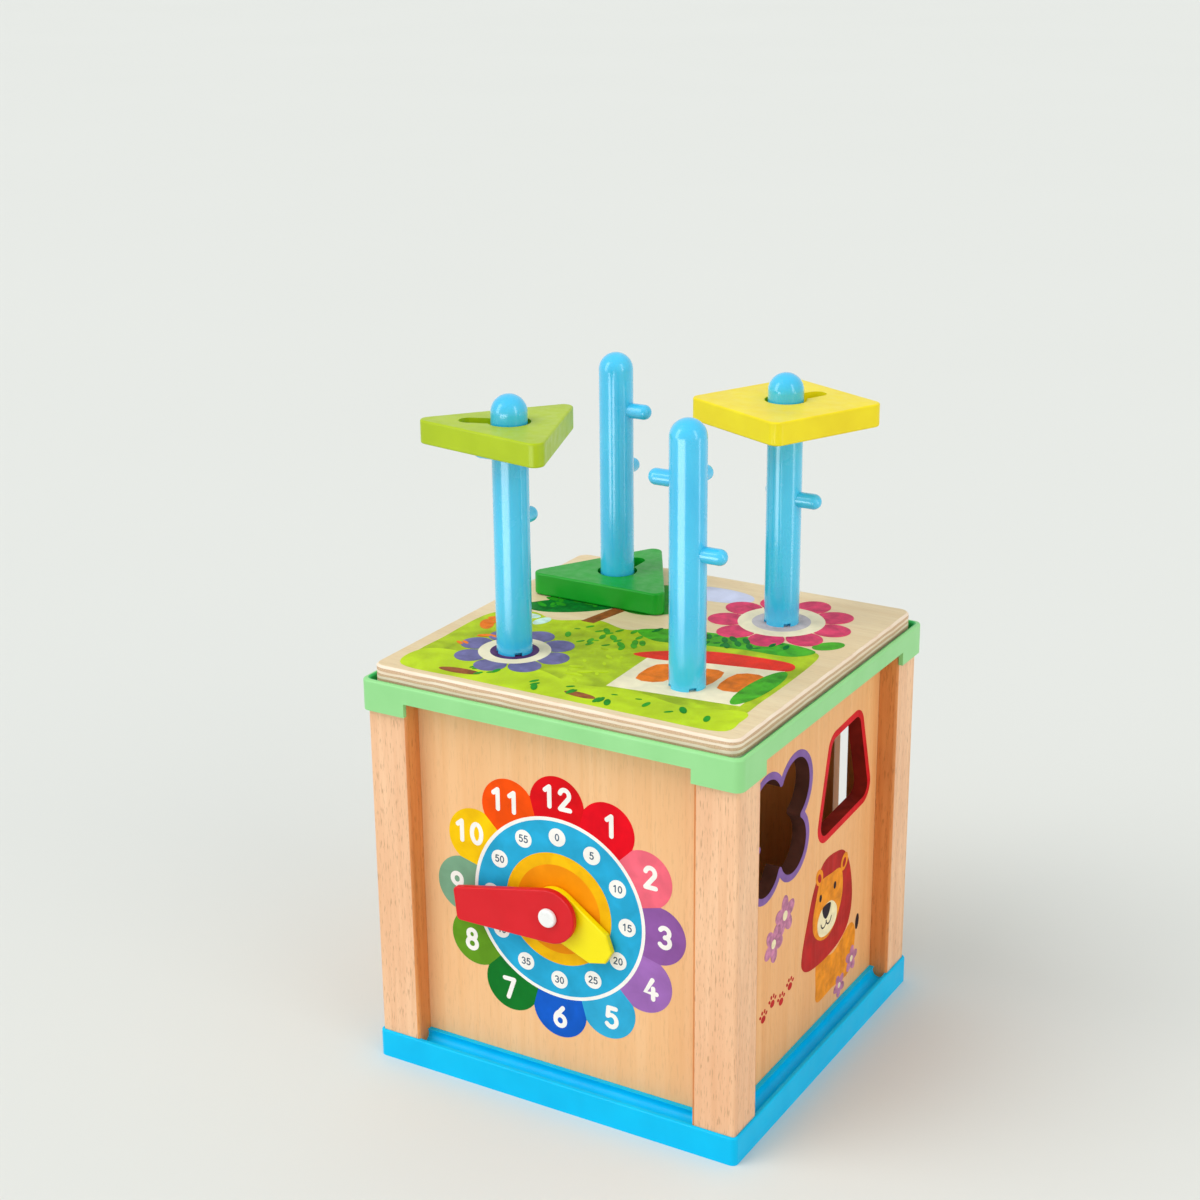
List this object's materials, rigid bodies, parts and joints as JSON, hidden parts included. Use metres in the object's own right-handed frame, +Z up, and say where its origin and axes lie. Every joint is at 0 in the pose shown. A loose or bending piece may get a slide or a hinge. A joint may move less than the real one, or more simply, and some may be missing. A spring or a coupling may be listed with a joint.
{
  "type": "shape sorter",
  "caption": "Wooden activity cube: sorting holes and a play clock on its sides, track sliders, and a lift-off lid board with knobbed pegs that hold keyhole shapes.",
  "frame": {"origin": "Centre of the underside of the base tray, on the surface that the toy stands on.", "axes": "+Z is up. The clock panel faces -Y and the panel with the butterfly hole faces +X; the slider tracks face +Y."},
  "size_m": [0.168, 0.168, 0.2795],
  "materials": {
    "blue_base": "glossy azure moulded plastic",
    "green_frame": "satin pale green moulded plastic",
    "post_wood": "clear satin varnish on straight-grained timber",
    "panel_wood": "clear satin varnish on plywood, printed on the outer face",
    "lid_ply": "clear satin varnish on birch plywood, printed on the top face",
    "peg_plastic": "glossy light blue moulded plastic",
    "green_paint": "satin green paint on wood",
    "lime_paint": "satin lime paint on wood",
    "yellow_paint": "satin yellow paint on wood",
    "red_hand": "satin red paint on wood",
    "yellow_hand": "satin yellow paint on wood",
    "white_plastic": "glossy white plastic",
    "grey_plastic": "grey plastic",
    "screw_steel": "zinc-plated steel",
    "slider_wood": "waxed pale turned wood",
    "knob_orange": "satin orange paint on turned wood",
    "knob_blue": "satin blue paint on turned wood"
  },
  "bodies": {
    "box": {"base_tray": "blue_base", "top_frame": "green_frame", "post_front_left": "post_wood", "post_front_right": "post_wood", "post_back_left": "post_wood", "post_back_right": "post_wood", "clock_panel": "panel_wood", "sorting_panel": "panel_wood", "crown_panel": "panel_wood", "track_panel": "panel_wood", "frame_screws": "screw_steel", "base_screws": "screw_steel", "clock_pin": "white_plastic", "clock_washers": "grey_plastic", "clock_nut": "grey_plastic"},
    "lid": {"lid_board": "lid_ply", "peg_front_left": "peg_plastic", "peg_front_right": "peg_plastic", "peg_back_left": "peg_plastic", "peg_back_right": "peg_plastic", "peg_screws": "screw_steel"},
    "green_triangle": {"green_triangle": "green_paint"},
    "lime_triangle": {"lime_triangle": "lime_paint"},
    "yellow_square": {"yellow_square": "yellow_paint"},
    "hour_hand": {"hour_hand": "yellow_hand"},
    "minute_hand": {"minute_hand": "red_hand"},
    "left_slider": {"left_slider_pin": "slider_wood", "left_slider_nut": "slider_wood", "left_slider_knob": "knob_orange"},
    "right_slider": {"right_slider_pin": "slider_wood", "right_slider_nut": "slider_wood", "right_slider_knob": "knob_blue"}
  },
  "joints": [
    {"name": "lid_lift", "type": "slide", "parent": "box", "child": "lid", "axis": [0, 0, 1], "range_m": [0, 0.11]},
    {"name": "green_triangle_slide", "type": "slide", "parent": "lid", "child": "green_triangle", "axis": [0, 0, 1], "range_m": [0, 0.067]},
    {"name": "lime_triangle_slide", "type": "slide", "parent": "lid", "child": "lime_triangle", "axis": [0, 0, 1], "range_m": [0, 0.033]},
    {"name": "yellow_square_slide", "type": "slide", "parent": "lid", "child": "yellow_square", "axis": [0, 0, 1], "range_m": [0, 0.033]},
    {"name": "hour_hand_turn", "type": "hinge", "parent": "box", "child": "hour_hand", "pos_m": [0, -0.0763, 0.0845], "axis": [0, 1, 0], "continuous": true},
    {"name": "minute_hand_turn", "type": "hinge", "parent": "box", "child": "minute_hand", "pos_m": [0, -0.0803, 0.0845], "axis": [0, 1, 0], "continuous": true},
    {"name": "left_slider_slide", "type": "slide", "parent": "box", "child": "left_slider", "axis": [0, 0, 1], "range_m": [0, 0.028]},
    {"name": "right_slider_slide", "type": "slide", "parent": "box", "child": "right_slider", "axis": [0, 0, 1], "range_m": [0, 0.028]}
  ]
}
